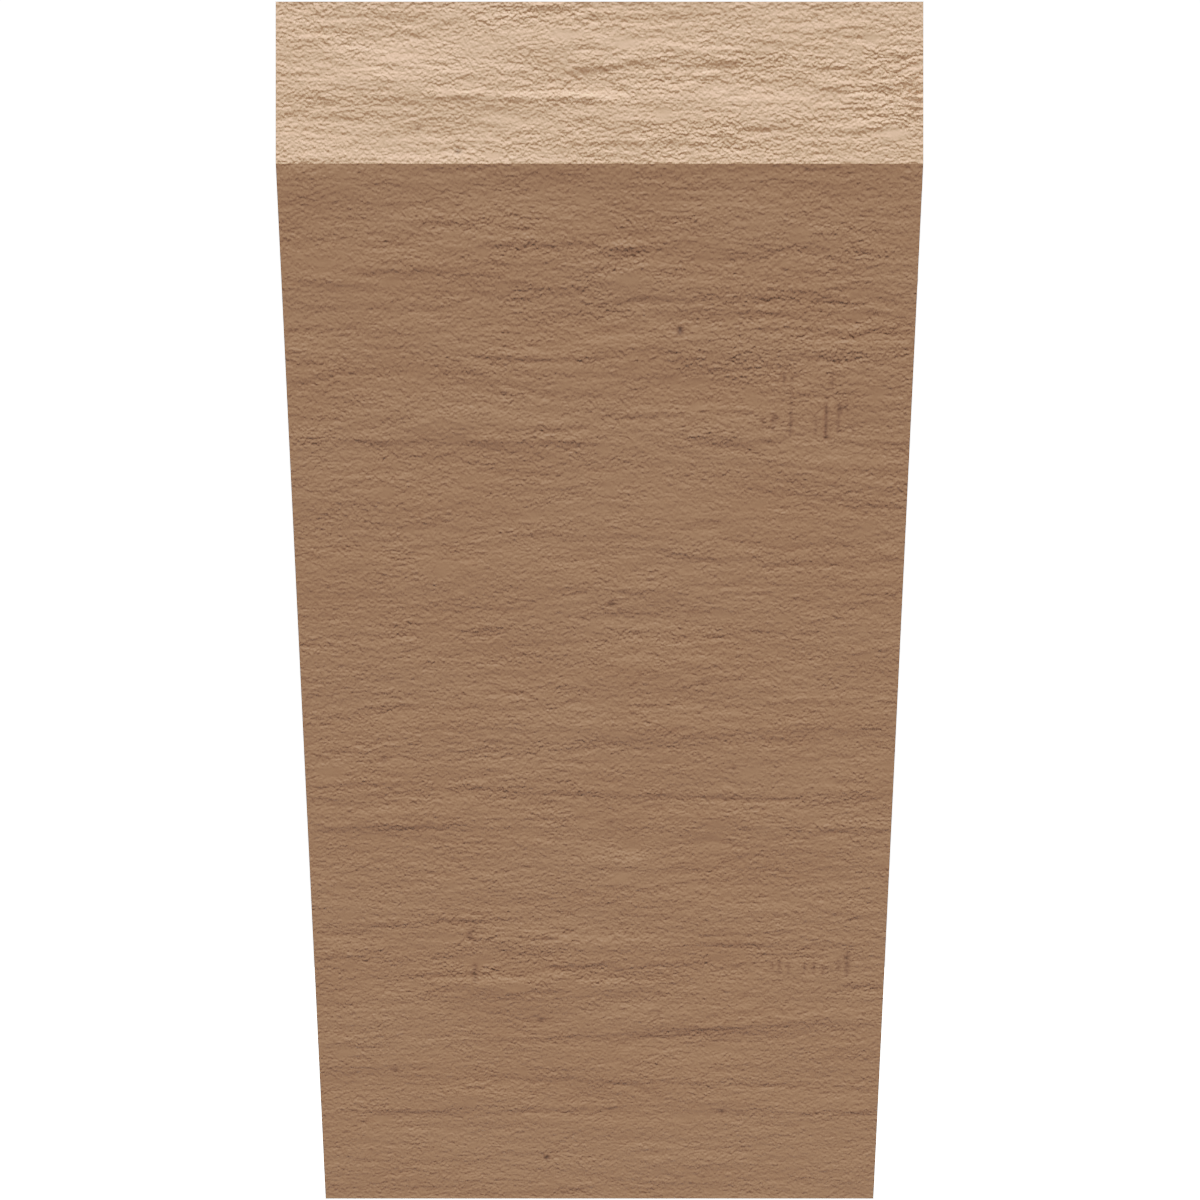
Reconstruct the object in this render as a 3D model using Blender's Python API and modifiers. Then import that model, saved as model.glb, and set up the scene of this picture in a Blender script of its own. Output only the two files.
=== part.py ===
"""A wedge corbel cast in one piece, with a flat top, a short upright nose and a straight slope back to its foot.

Metres, +Z up. The origin is the centre of the flat back, which bears on the wall.
The corbel stands out from the wall along -Y, and its width runs along X.
"""

import math

import bpy

INCH = 0.0254

# Driving dimensions
WIDTH = 6.0 * INCH
HEIGHT = 12.0 * INCH
PROJECTION = 8.0 * INCH
NOSE_HEIGHT = 1.5 * INCH
FOOT_DEPTH = 2.0 * INCH

# The edges are barely eased, as a mould leaves them
ARRIS_WIDTH = 0.0008
ARRIS_SEGMENTS = 2
ARRIS_LEAST_ANGLE = math.radians(15)
WELD_DISTANCE = 0.00001

# Tan primer
PRIMER_COLOUR = (0.62, 0.45, 0.31, 1.0)
PRIMER_ROUGHNESS = 0.85


def clear_scene():
    for obj in list(bpy.data.objects):
        bpy.data.objects.remove(obj, do_unlink=True)


def new_collection(name):
    collection = bpy.data.collections.new(name)
    bpy.context.scene.collection.children.link(collection)
    return collection


def primer_material():
    material = bpy.data.materials.new("tan_primer")
    material.use_nodes = True
    shader = material.node_tree.nodes["Principled BSDF"]
    shader.inputs["Base Color"].default_value = PRIMER_COLOUR
    shader.inputs["Roughness"].default_value = PRIMER_ROUGHNESS
    shader.inputs["Metallic"].default_value = 0.0
    return material


def side_outline():
    """Corners of the side view as (out from the wall, up from the middle of the back)."""
    top = HEIGHT / 2
    bottom = -HEIGHT / 2
    return [
        (0.0, bottom),
        (FOOT_DEPTH, bottom),
        (PROJECTION, top - NOSE_HEIGHT),
        (PROJECTION, top),
        (0.0, top),
    ]


def slab_from_outline(name, corners, thickness, collection):
    """A flat outline given a thickness, with its middle on the object's own XY plane."""
    curve = bpy.data.curves.new(name, "CURVE")
    curve.dimensions = "2D"
    curve.fill_mode = "BOTH"
    curve.extrude = thickness / 2
    spline = curve.splines.new("POLY")
    spline.points.add(len(corners) - 1)
    for point, (out, up) in zip(spline.points, corners):
        point.co = (out, up, 0.0, 1.0)
    spline.use_cyclic_u = True
    slab = bpy.data.objects.new(name, curve)
    collection.objects.link(slab)
    return slab


def ease_edges(obj):
    weld = obj.modifiers.new("join_caps", "WELD")
    weld.merge_threshold = WELD_DISTANCE
    bevel = obj.modifiers.new("arris", "BEVEL")
    bevel.width = ARRIS_WIDTH
    bevel.segments = ARRIS_SEGMENTS
    bevel.limit_method = "ANGLE"
    bevel.angle_limit = ARRIS_LEAST_ANGLE


def build_corbel(collection):
    corbel = slab_from_outline("corbel", side_outline(), WIDTH, collection)
    # The outline's first axis points out from the wall, and its second points up
    corbel.rotation_euler = (math.pi / 2, 0.0, -math.pi / 2)
    corbel.data.materials.append(primer_material())
    ease_edges(corbel)
    return corbel


def main():
    clear_scene()
    build_corbel(new_collection("Wedge corbel"))


main()
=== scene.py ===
"""The looks of a primed wedge corbel: its cast relief, its tan coat, plain soft light and the camera.

Lengths are in metres, except in the relief, where places and heights are in millimetres from the
middle of the object: x runs to the right, z up, and a height is positive where the face stands proud.
"""
import math

import bpy
import numpy as np
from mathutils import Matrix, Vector


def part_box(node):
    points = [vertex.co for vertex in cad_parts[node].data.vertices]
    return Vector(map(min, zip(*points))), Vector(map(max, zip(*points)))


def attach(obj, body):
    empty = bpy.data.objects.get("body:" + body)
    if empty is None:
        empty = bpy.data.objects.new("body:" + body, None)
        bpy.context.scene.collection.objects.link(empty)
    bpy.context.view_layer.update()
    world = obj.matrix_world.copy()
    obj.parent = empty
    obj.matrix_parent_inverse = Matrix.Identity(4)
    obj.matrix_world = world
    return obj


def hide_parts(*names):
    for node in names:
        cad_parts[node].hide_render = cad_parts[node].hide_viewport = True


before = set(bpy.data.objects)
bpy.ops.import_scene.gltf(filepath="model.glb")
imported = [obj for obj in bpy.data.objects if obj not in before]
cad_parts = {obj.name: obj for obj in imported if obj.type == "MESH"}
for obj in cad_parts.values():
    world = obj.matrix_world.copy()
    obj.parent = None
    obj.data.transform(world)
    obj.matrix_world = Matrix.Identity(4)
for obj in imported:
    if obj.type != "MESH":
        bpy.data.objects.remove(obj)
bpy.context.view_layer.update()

MM = 0.001
INCH = 0.0254

# The solid, as the CAD has it
LOW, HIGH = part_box("corbel")
WIDTH = HIGH[0] - LOW[0]
HEIGHT = HIGH[2] - LOW[2]
PROJECTION = HIGH[1] - LOW[1]
NOSE_HEIGHT = 1.5 * INCH
FOOT_DEPTH = 2.0 * INCH
SLOPE_HEIGHT = HEIGHT - NOSE_HEIGHT
SLOPE_RUN = PROJECTION - FOOT_DEPTH

# The surface grid: rows up the height, columns across the width, ranks from the front to the back.
# The columns are denser between two places in x, in millimetres.
ROWS = 528
NOSE_ROWS = 66
ARRIS_ROW = ROWS - NOSE_ROWS
COLUMNS = 150
FINE_COLUMNS = (38.0, 63.0)
FINE_DENSITY = 1.9
RANKS = 28
SIDE_ROW_STEP = 3
MARGIN = 0.7 * MM
EDGE_FADE = 1.8 * MARGIN

# The arrises lie this far inside the solid's: less than nothing, as they stand a hair proud
ARRIS_INSET = -0.05 * MM

# The photograph's frame, and where the object stands in it
FRAME_PIXELS = 1200
NOSE_PIXELS = 647.65
NOSE_CENTRE_PIXEL = 599.5
NOSE_TOP_PIXEL = 1.6
CAMERA_DISTANCE = 0.8381
CAMERA_DROP = 2.2 * MM
SENSOR_WIDTH = 36.0


# Noise sheets for the relief

SHEET_STEP = 0.3
SHEET_SHAPE = (1536, 1024)


def noise_sheet(seed, along, across):
    """A sheet of smooth noise that repeats, of rms 1, with waves of about these lengths in millimetres."""
    random = np.random.default_rng(seed)
    white = random.standard_normal(SHEET_SHAPE)
    up = np.fft.fftfreq(SHEET_SHAPE[0], SHEET_STEP)[:, None] * across
    right = np.fft.rfftfreq(SHEET_SHAPE[1], SHEET_STEP)[None, :] * along
    squared = up ** 2 + right ** 2
    band = squared * np.exp(1.0 - squared)
    sheet = np.fft.irfft2(np.fft.rfft2(white) * band, SHEET_SHAPE)
    return sheet / sheet.std()


def sample(sheet, x, z):
    """The sheet's value at each x, z, between its points."""
    column = x / SHEET_STEP
    row = z / SHEET_STEP
    left = np.floor(column).astype(int)
    below = np.floor(row).astype(int)
    right_share = column - left
    upper_share = row - below
    rows, columns = SHEET_SHAPE
    value = 0.0
    for up in (0, 1):
        for right in (0, 1):
            share = (upper_share if up else 1 - upper_share) * (right_share if right else 1 - right_share)
            value = value + share * sheet[(below + up) % rows, (left + right) % columns]
    return value


def smooth(value):
    """A rise from 0 to 1 that starts and ends level."""
    value = np.clip(value, 0.0, 1.0)
    return value * value * (3.0 - 2.0 * value)


def rise_between(value, first, last):
    """0 up to the first value, 1 from the last, and a smooth rise between."""
    return smooth((value - first) / (last - first))


def hump(distance, reach):
    """1 at no distance, and about a third at the reach."""
    return np.exp(-(distance / reach) ** 2)


# Where the grain bends. Each row: from x, to x, level z, reach above and below, how far the grain climbs
GRAIN_CLIMBS = (
    (-72, -48, -16, 5, 2.5),
    (-75, -45, -26, 5, 3.0),
    (-5, 73, -21, 6, 3.5),
    (-75, -40, -106, 5, 2.5),
    (-20, 73, -101, 6, 3.5),
    (30, 75, 39, 7, -6.0),
    (12, 42, 23, 5, -4.0),
    (52, 74, 22, 4, 2.0),
    (-35, 45, -38, 4, -3.0),
    (-28, 45, -117, 4, -3.0),
    (5, 32, 101, 5, 5.0),
    (-8, 12, 138, 4, 3.0),
    (0, 40, -56, 5, 3.0),
    (-15, 20, 12, 5, 2.5),
)
# Where the grain arches over something. Each row: x, z, reach sideways, reach up and down, height of the arch
GRAIN_ARCHES = (
    (-36, 60, 17, 8, 6.0),
    (-64, 63, 8, 6, 2.5),
    (6, 103, 10, 6, 4.0),
    (1, 90, 5, 5, -3.0),
    (62, 30, 14, 4, 2.5),
    (42, 27, 14, 4, -2.5),
    (-27, 147, 6, 5, 3.0),
    (5, 56, 12, 6, 2.5),
    (-5, -60, 8, 6, -2.0),
    (27, -51, 8, 6, 2.0),
)


def grain_level(x, z):
    """The level that the grain has at each place before anything bends it."""
    level = z.copy()
    for first, last, at, reach, climb in GRAIN_CLIMBS:
        level -= climb * (rise_between(x, first, last) - 0.5) * hump(z - at, reach)
    for middle, at, sideways, reach, height in GRAIN_ARCHES:
        level -= height * hump(x - middle, sideways) * hump(z - at, reach)
    return level


# Lines in the relief. Each row: the points it runs through, its height, the width of its steep side,
# how far it dies away, and the share of that above the line. A line with a positive height
# overhangs, so its steep side is dark under light from above, and a negative one is bright.
LINES = (
    # The nose
    (((-26, 150.8), (-15, 151.2), (-4, 150.6)), 0.17, 0.5, 1.2, 0.5),
    (((-20, 148.6), (-10, 149.2), (0, 148.8)), 0.10, 0.5, 1.2, 0.5),
    (((-31, 148.2), (-26, 146.8), (-23, 143.6)), 0.10, 0.4, 1.5, 0.6),
    (((-7, 136.0), (3, 136.8), (10, 138.0), (15, 138.8), (21, 138.7), (26, 138.4), (32, 138.5)),
     0.28, 0.7, 1.9, 0.6),
    (((6, 136.6), (14, 137.2), (22, 137.0), (31, 137.4)), 0.16, 0.7, 1.2, 0.5),
    (((31, 138.6), (38, 139.3), (46, 139.2)), 0.16, 0.5, 2.0, 0.6),
    (((5, 134.4), (15, 134.4), (28, 133.8)), 0.10, 0.5, 1.6, 0.5),
    (((-37, 130.0), (-24, 129.5), (-16, 129.3), (-8, 129.2), (2, 129.0)), 0.14, 0.35, 1.4, 0.95),
    (((-40, 131.5), (-24, 131.0), (-12, 130.7), (0, 130.6), (6, 130.4)), -0.50, 1.0, 1.8, 0.5),
    (((-14, 133.2), (-8, 133.8), (-2, 133.4)), -0.20, 0.5, 1.2, 0.5),
    (((12, 134.6), (20, 134.2), (30, 134.4), (39, 133.8)), 0.12, 0.5, 1.5, 0.5),
    (((-37, 125.0), (-32, 124.8), (-28, 125.4)), 0.10, 0.4, 1.2, 0.5),
    (((16, 122.0), (25, 121.8), (34, 122.4)), -0.30, 0.7, 1.4, 0.5),
    (((-72, 129.8), (-66, 129.3), (-60, 129.0)), 0.13, 0.5, 1.8, 0.6),
    (((-57, 130.2), (-50, 130.0), (-46, 130.6)), 0.09, 0.5, 1.8, 0.6),
    (((-13, 133.8), (-8, 133.6), (-3, 134.4)), 0.10, 0.5, 1.2, 0.5),
    (((-24, 137.0), (-14, 137.8), (-8, 137.2)), 0.07, 0.5, 1.2, 0.5),
    (((50, 136.4), (58, 136.6), (64, 136.2)), 0.10, 0.5, 1.5, 0.5),
    (((60, 139.2), (68, 139.4), (76, 139.0)), 0.18, 0.5, 1.8, 0.7),
    (((66, 135.4), (72, 136.0), (77, 135.4)), 0.10, 0.5, 1.2, 0.5),
    (((58, 122.0), (66, 122.4), (74, 123.4)), 0.10, 0.4, 1.2, 0.5),
    (((3, 120.6), (9, 121.4), (14, 124.0)), 0.09, 0.5, 1.2, 0.5),
    (((15, 121.6), (24, 121.4), (31, 121.0)), 0.11, 0.5, 1.4, 0.5),
    (((20, 118.4), (27, 118.2), (33, 118.6)), 0.10, 0.5, 1.2, 0.5),
    (((12, 123.2), (18, 122.8), (23, 123.2)), -0.08, 0.5, 1.2, 0.5),
    (((31, 127.4), (34, 125.6), (39, 125.0)), 0.08, 0.5, 1.2, 0.5),
    # The slope, from the top
    (((-56, 105.2), (-50, 105.6), (-47, 105.0)), 0.08, 0.5, 1.2, 0.5),
    (((-33, 103.8), (-29, 103.5), (-27, 103.8)), 0.13, 0.5, 1.2, 0.5),
    (((-22, 103.2), (-18, 103.6), (-14, 105.4), (-8, 108.0)), 0.10, 0.6, 1.4, 0.5),
    (((-46, 100.2), (-38, 100.8), (-30, 100.4)), 0.18, 0.5, 1.3, 0.5),
    (((-72, 97.4), (-66, 97.8), (-58, 98.4)), 0.09, 0.5, 1.4, 0.5),
    (((-76, 95.4), (-72, 95.6), (-66, 95.8)), 0.13, 0.6, 1.6, 0.5),
    (((-53, 97.8), (-48, 97.0), (-41, 96.6)), 0.18, 0.6, 1.8, 0.4),
    (((-30, 96.4), (-20, 96.6), (-10, 96.6), (0, 96.2)), 0.20, 0.6, 1.6, 0.5),
    (((-15, 97.6), (-8, 98.2), (1, 98.4)), 0.13, 0.6, 1.6, 0.5),
    (((-2, 94.4), (4, 95.0), (8, 94.8), (13, 95.6)), 0.20, 0.6, 1.8, 0.5),
    (((12, 101.4), (16, 101.6), (20, 102.6)), 0.15, 0.6, 1.4, 0.5),
    (((20, 100.4), (28, 102.4), (40, 103.0), (56, 103.2)), 0.12, 0.6, 1.8, 0.5),
    (((18, 93.4), (28, 93.2), (41, 93.8)), 0.11, 0.5, 1.6, 0.5),
    (((44, 95.2), (50, 95.4), (55, 94.0), (59, 92.6)), 0.13, 0.5, 1.4, 0.5),
    (((-72, 87.8), (-62, 87.2), (-54, 87.4)), 0.15, 0.6, 1.6, 0.5),
    (((-58, 90.8), (-46, 90.4), (-34, 90.6)), 0.09, 0.6, 1.8, 0.5),
    (((-34, 85.6), (-24, 85.4), (-12, 86.4), (-4, 86.2)), 0.13, 0.6, 1.6, 0.5),
    (((-28, 84.0), (-22, 83.8), (-17, 84.4)), 0.10, 0.5, 1.2, 0.5),
    (((-4, 91.4), (0, 90.4), (4, 91.6)), 0.12, 0.6, 1.6, 0.5),
    (((-6, 88.4), (-1, 87.6), (2, 88.0)), 0.12, 0.6, 1.4, 0.5),
    (((8, 84.2), (26, 84.4), (48, 84.8), (58, 84.0)), 0.22, 0.6, 1.8, 0.5),
    (((-70, 82.4), (-52, 82.2), (-32, 82.2)), 0.09, 0.6, 1.8, 0.5),
    (((12, 80.8), (30, 81.0), (50, 80.6), (60, 79.8)), 0.11, 0.5, 1.5, 0.5),
    (((-10, 80.8), (0, 81.0), (8, 80.6)), 0.08, 0.5, 1.5, 0.5),
    (((-78, 77.4), (-64, 77.0), (-56, 77.2)), 0.17, 0.5, 1.5, 0.5),
    (((-30, 73.8), (-20, 74.0), (-12, 73.6)), 0.08, 0.5, 1.4, 0.5),
    (((10, 72.6), (16, 73.2), (22, 72.4)), 0.10, 0.5, 1.2, 0.5),
    (((16, 71.4), (26, 71.2), (40, 71.0), (46, 71.4)), 0.22, 0.6, 1.6, 0.5),
    (((44, 71.6), (54, 71.2), (64, 71.0), (78, 70.6)), 0.22, 0.6, 1.6, 0.5),
    (((-30, 70.8), (-18, 70.4), (-8, 70.4), (3, 70.8)), 0.25, 0.6, 1.6, 0.5),
    (((-70, 66.6), (-64, 67.4), (-58, 66.8), (-50, 68.4)), 0.11, 0.5, 1.4, 0.5),
    (((-40, 66.8), (-34, 67.4), (-28, 66.6), (-25, 65.0), (-23.6, 63.2)), 0.16, 0.5, 1.5, 0.5),
    (((-19, 67.0), (-15, 65.6), (-12, 63.6)), 0.11, 0.5, 1.4, 0.5),
    (((-70, 60.6), (-62, 61.6), (-56, 61.0)), 0.08, 0.5, 1.4, 0.5),
    (((14, 60.6), (20, 60.8), (26, 60.4)), 0.09, 0.5, 1.4, 0.5),
    (((6, 57.0), (16, 57.4), (27, 57.4)), 0.14, 0.5, 1.4, 0.5),
    (((-72, 56.4), (-58, 56.0), (-46, 57.4)), 0.08, 0.5, 1.4, 0.5),
    (((2, 87.0), (9, 92.4), (17, 99.6), (24, 104.4)), -0.14, 1.6, 3.0, 0.5),
    # The long crease a third of the way down
    (((-78, 52.8), (-62, 52.4), (-46, 52.4)), -0.15, 0.9, 1.8, 0.5),
    (((-32, 52.4), (-14, 52.4), (2, 52.0)), -0.15, 0.9, 1.8, 0.5),
    (((60, 52.4), (70, 52.0), (78, 51.8)), -0.10, 0.9, 1.8, 0.5),
    (((-74, 51.2), (-62, 50.8), (-50, 50.8)), 0.22, 0.6, 2.2, 0.7),
    (((-52, 50.6), (-40, 50.6), (-28, 50.6)), 0.10, 0.6, 2.4, 0.8),
    (((-30, 50.4), (-18, 50.6), (-6, 50.6), (0, 50.0)), 0.22, 0.6, 3.2, 0.85),
    (((-16, 54.2), (-8, 54.2), (-2, 54.6)), 0.22, 0.6, 1.6, 0.4),
    (((20, 52.4), (26, 51.8), (30, 50.6), (36, 50.4), (46, 51.2)), 0.26, 0.8, 2.2, 0.5),
    (((23, 54.2), (28, 53.2), (34, 52.2)), 0.12, 0.6, 1.4, 0.5),
    (((54, 51.4), (59, 51.0), (64, 51.0)), 0.14, 0.6, 1.8, 0.6),
    (((63, 50.6), (70, 50.6), (77, 50.2)), 0.24, 0.6, 2.2, 0.6),
    # The fan of lines that falls to the right, and the eye below it
    (((-10, 46.4), (6, 47.0), (18, 46.4)), 0.08, 0.5, 1.5, 0.5),
    (((-46, 43.0), (-43, 42.8), (-41, 43.4)), 0.12, 0.5, 1.2, 0.5),
    (((52, 44.8), (64, 44.0), (76, 43.3)), 0.12, 0.6, 1.6, 0.5),
    (((36, 43.0), (47, 41.4), (62, 40.2), (78, 39.2)), 0.18, 0.9, 2.2, 0.5),
    (((34, 40.6), (49, 38.5), (62, 36.7), (78, 34.8)), 0.20, 0.8, 2.0, 0.5),
    (((62, 34.8), (70, 34.2), (78, 33.5)), 0.14, 0.5, 1.2, 0.5),
    (((-34, 39.4), (-18, 39.4), (-2, 39.6)), 0.10, 0.6, 1.6, 0.5),
    (((-76, 37.0), (-60, 36.6), (-48, 36.8)), 0.07, 0.5, 1.6, 0.5),
    (((24, 31.4), (30, 32.2), (35, 32.0)), 0.19, 0.6, 1.6, 0.5),
    (((20, 30.4), (22.5, 30.0), (25, 30.4)), 0.18, 0.6, 1.4, 0.5),
    (((34, 32.2), (44, 33.4), (56, 32.2), (64, 29.6)), 0.08, 0.6, 1.8, 0.5),
    (((27, 28.6), (36, 26.8), (46, 25.8), (56, 26.6)), 0.10, 0.6, 1.8, 0.5),
    (((55, 27.8), (60, 26.8), (64, 25.8)), 0.19, 0.6, 1.6, 0.5),
    (((-25, 28.8), (-16, 28.4), (-6, 28.6)), 0.12, 0.5, 1.5, 0.5),
    (((-12, 27.4), (0, 27.6), (10, 28.6)), 0.10, 0.5, 1.5, 0.5),
    (((-60, 25.2), (-48, 25.4), (-36, 25.2)), 0.09, 0.5, 1.6, 0.5),
    (((13, 24.8), (22, 23.6), (31, 22.2), (40, 21.5), (50, 21.4), (60, 21.8), (76, 22.8)),
     0.21, 0.5, 2.2, 0.5),
    (((-30, 21.6), (-26, 21.4), (-23, 20.8)), 0.12, 0.5, 1.2, 0.5),
    (((28, 18.8), (40, 17.4), (52, 16.4), (64, 16.2)), 0.10, 0.5, 1.5, 0.5),
    (((-14, 14.2), (-8, 15.6), (-2, 14.0), (5, 14.4)), 0.08, 0.5, 1.5, 0.5),
    (((-14, 9.4), (0, 8.8), (16, 9.0)), 0.11, 0.5, 1.5, 0.5),
    # The middle
    (((-76, 2.6), (-66, 3.4), (-56, 4.2), (-44, 4.0)), 0.12, 0.6, 2.4, 0.4),
    (((-36, 4.6), (-30, 4.4), (-24, 4.6)), 0.14, 0.6, 1.6, 0.5),
    (((2, 3.6), (12, 3.8), (22, 3.2)), 0.14, 0.6, 1.6, 0.5),
    (((24, 3.6), (38, 4.4), (52, 4.4), (64, 3.8)), 0.12, 0.5, 1.6, 0.5),
    (((-60, -0.8), (-46, -0.6), (-34, -0.8)), 0.09, 0.5, 1.6, 0.5),
    (((24, -7.2), (32, -6.8), (40, -7.0)), 0.12, 0.5, 1.4, 0.5),
    (((-18, -7.8), (-16, -7.4), (-14, -6.6), (-9, -4.8)), 0.10, 0.5, 1.3, 0.5),
    (((-10, -10.8), (-5, -11.0), (0, -10.6)), 0.12, 0.5, 1.4, 0.5),
    (((-74, -17.0), (-64, -16.6), (-59, -14.9), (-50, -14.5), (-36, -14.6)), 0.15, 0.5, 1.6, 0.4),
    (((-36, -14.6), (-22, -14.8), (-8, -13.8)), 0.09, 0.5, 1.5, 0.4),
    (((-8, -23.2), (6, -22.8), (22, -22.6), (40, -21.6), (58, -20.6), (76, -20.4)), 0.14, 0.7, 3.0, 0.9),
    (((-20, -24.6), (-8, -25.0), (2, -25.0), (14, -24.6)), 0.13, 0.6, 1.6, 0.5),
    (((12, -24.2), (28, -24.0), (44, -23.4), (56, -23.0)), 0.13, 0.6, 1.6, 0.5),
    (((-76, -27.2), (-66, -26.4), (-58, -26.0), (-46, -24.2)), 0.15, 0.6, 1.8, 0.4),
    (((-42, -26.2), (-32, -26.2), (-20, -25.4)), 0.09, 0.6, 1.5, 0.5),
    (((-70, -28.8), (-66, -28.2), (-61, -26.8)), -0.12, 0.5, 0.9, 0.5),
    (((-34, -36.0), (-22, -36.6), (-8, -37.2), (10, -37.9), (28, -38.2)), 0.19, 0.45, 1.8, 0.5),
    (((26, -38.2), (40, -38.6), (54, -39.0), (76, -38.8)), 0.18, 0.45, 1.8, 0.5),
    (((56, -36.4), (66, -37.2), (75, -37.0)), 0.09, 0.5, 1.2, 0.5),
    (((-64, -37.6), (-52, -37.4), (-44, -37.4)), 0.10, 0.5, 1.4, 0.5),
    (((-72, -43.0), (-58, -41.8), (-44, -41.6)), -0.09, 0.6, 1.6, 0.5),
    # The long crease two thirds of the way down
    (((-76, -45.0), (-58, -44.8), (-40, -44.8)), -0.14, 0.9, 1.8, 0.5),
    (((54, -45.0), (66, -45.2), (78, -45.0)), -0.12, 0.9, 1.8, 0.5),
    (((-72, -46.8), (-60, -46.6), (-50, -46.6), (-38, -46.8)), 0.20, 0.6, 2.6, 0.8),
    (((-26, -46.2), (-16, -46.2), (-6, -46.4)), 0.12, 0.6, 2.0, 0.7),
    (((34, -46.6), (46, -46.4), (53, -45.8), (58, -46.6)), 0.16, 0.6, 1.8, 0.7),
    (((56, -46.8), (66, -47.0), (78, -46.8)), 0.24, 0.6, 2.2, 0.7),
    (((-46, -50.2), (-34, -50.0), (-22, -50.2)), 0.08, 0.5, 1.5, 0.5),
    (((-30, -55.6), (-22, -56.6), (-8, -56.8), (6, -57.2)), 0.13, 0.6, 1.6, 0.5),
    (((4, -57.2), (20, -57.6), (30, -56.0), (42, -54.4)), 0.10, 0.6, 1.8, 0.7),
    (((8, -58.6), (20, -58.8), (34, -57.2)), 0.09, 0.6, 1.6, 0.5),
    (((-60, -61.6), (-52, -61.4), (-46, -61.6)), 0.09, 0.5, 1.4, 0.5),
    (((-74, -72.6), (-60, -72.8), (-44, -72.4)), 0.13, 0.6, 1.6, 0.5),
    (((-46, -71.8), (-38, -71.8), (-30, -71.6), (-22, -72.0)), 0.18, 0.6, 1.5, 0.5),
    (((40, -70.0), (56, -70.2), (70, -70.6)), 0.10, 0.5, 1.5, 0.5),
    (((-76, -75.0), (-68, -75.0), (-60, -75.2)), 0.12, 0.5, 1.5, 0.5),
    (((22, -79.0), (32, -78.4), (44, -78.4), (60, -79.4)), 0.13, 0.5, 1.5, 0.5),
    (((54, -78.2), (64, -78.6), (74, -77.8)), 0.09, 0.5, 1.3, 0.5),
    # The wrinkled band near the foot
    (((-76, -82.4), (-68, -82.2), (-60, -82.2)), 0.18, 0.7, 2.2, 0.6),
    (((-62, -80.6), (-54, -81.6), (-44, -82.4)), 0.12, 0.6, 1.8, 0.6),
    (((-60, -87.8), (-52, -88.0), (-48, -88.6)), 0.17, 0.6, 1.6, 0.3),
    (((-48, -86.4), (-38, -86.0), (-28, -86.2), (-16, -86.0)), 0.16, 0.7, 1.8, 0.4),
    (((-15, -84.8), (-8, -84.4), (0, -84.0), (6, -83.4)), 0.22, 0.6, 1.5, 0.5),
    (((6, -84.6), (14, -84.2), (22, -84.6), (28, -83.4), (32, -82.0)), 0.20, 0.6, 1.5, 0.5),
    (((-10, -87.2), (0, -87.0), (12, -87.0), (22, -86.4)), 0.17, 0.6, 1.6, 0.2),
    (((-6, -90.6), (10, -90.0), (26, -88.6)), 0.12, 0.7, 2.2, 0.9),
    (((-34, -92.2), (-26, -93.0), (-18, -91.8), (-8, -90.8)), 0.17, 0.7, 2.4, 0.8),
    (((2, -91.8), (10, -92.4), (18, -93.0)), 0.12, 0.5, 1.3, 0.5),
    (((-76, -95.0), (-70, -95.2), (-64, -95.0)), 0.15, 0.5, 1.5, 0.5),
    (((-58, -94.6), (-54, -94.4), (-50, -94.2)), 0.12, 0.5, 1.3, 0.5),
    (((62, -89.6), (70, -89.8), (77, -89.4)), 0.15, 0.6, 1.8, 0.6),
    (((42, -81.6), (48, -81.4), (52, -81.8)), 0.14, 0.4, 1.0, 0.5),
    (((52, -82.6), (56, -81.4), (61, -82.0)), 0.14, 0.4, 1.0, 0.5),
    (((65, -81.6), (69, -81.4), (74, -82.0)), 0.14, 0.4, 1.0, 0.5),
    (((-58, -88.8), (-34, -88.2), (-14, -88.4)), -0.27, 1.0, 2.2, 0.5),
    (((-6, -88.8), (16, -88.4), (42, -87.8)), -0.26, 1.0, 2.2, 0.5),
    # Below the band
    (((-12, -104.8), (6, -103.8), (24, -103.0), (46, -101.4), (76, -100.6)), 0.14, 0.7, 3.0, 0.9),
    (((-40, -106.2), (-24, -105.6), (-10, -105.4), (8, -104.6)), 0.12, 0.6, 1.8, 0.5),
    (((8, -104.6), (26, -104.2), (44, -103.2), (60, -102.8)), 0.11, 0.5, 1.6, 0.5),
    (((-76, -107.4), (-66, -106.6), (-54, -105.4)), 0.11, 0.6, 1.8, 0.4),
    (((-30, -115.6), (-16, -116.6), (0, -117.4), (18, -117.6), (30, -118.6), (46, -118.2)),
     0.14, 0.45, 1.8, 0.5),
    (((44, -118.4), (60, -118.8), (74, -118.8)), 0.10, 0.45, 1.6, 0.5),
    (((30, -113.4), (40, -113.2), (48, -113.8)), 0.10, 0.5, 1.3, 0.5),
    (((-60, -121.8), (-46, -121.6), (-36, -121.8)), 0.09, 0.5, 1.5, 0.5),
    (((-72, -126.4), (-58, -126.2), (-48, -126.6), (-38, -127.0)), 0.19, 0.6, 2.6, 0.8),
    (((-26, -125.6), (-16, -125.8), (-6, -126.0), (5, -125.6)), 0.12, 0.6, 1.8, 0.7),
    (((34, -125.8), (44, -126.2), (54, -127.2), (62, -126.0)), 0.15, 0.6, 1.8, 0.7),
    (((60, -126.6), (68, -126.8), (77, -126.6)), 0.20, 0.6, 2.2, 0.7),
    (((10, -137.6), (30, -137.2), (48, -136.0)), 0.10, 0.6, 2.0, 0.6),
    (((18, -134.4), (36, -134.0), (52, -133.4)), 0.09, 0.6, 2.0, 0.6),
    (((-30, -138.4), (-18, -138.0), (-8, -138.2)), 0.08, 0.6, 1.6, 0.5),
    (((-60, -149.4), (-44, -149.0), (-28, -149.4)), 0.10, 0.6, 1.6, 0.5),
    (((-24, -150.2), (-14, -150.2), (-4, -149.8)), 0.12, 0.6, 1.5, 0.5),
)

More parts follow.
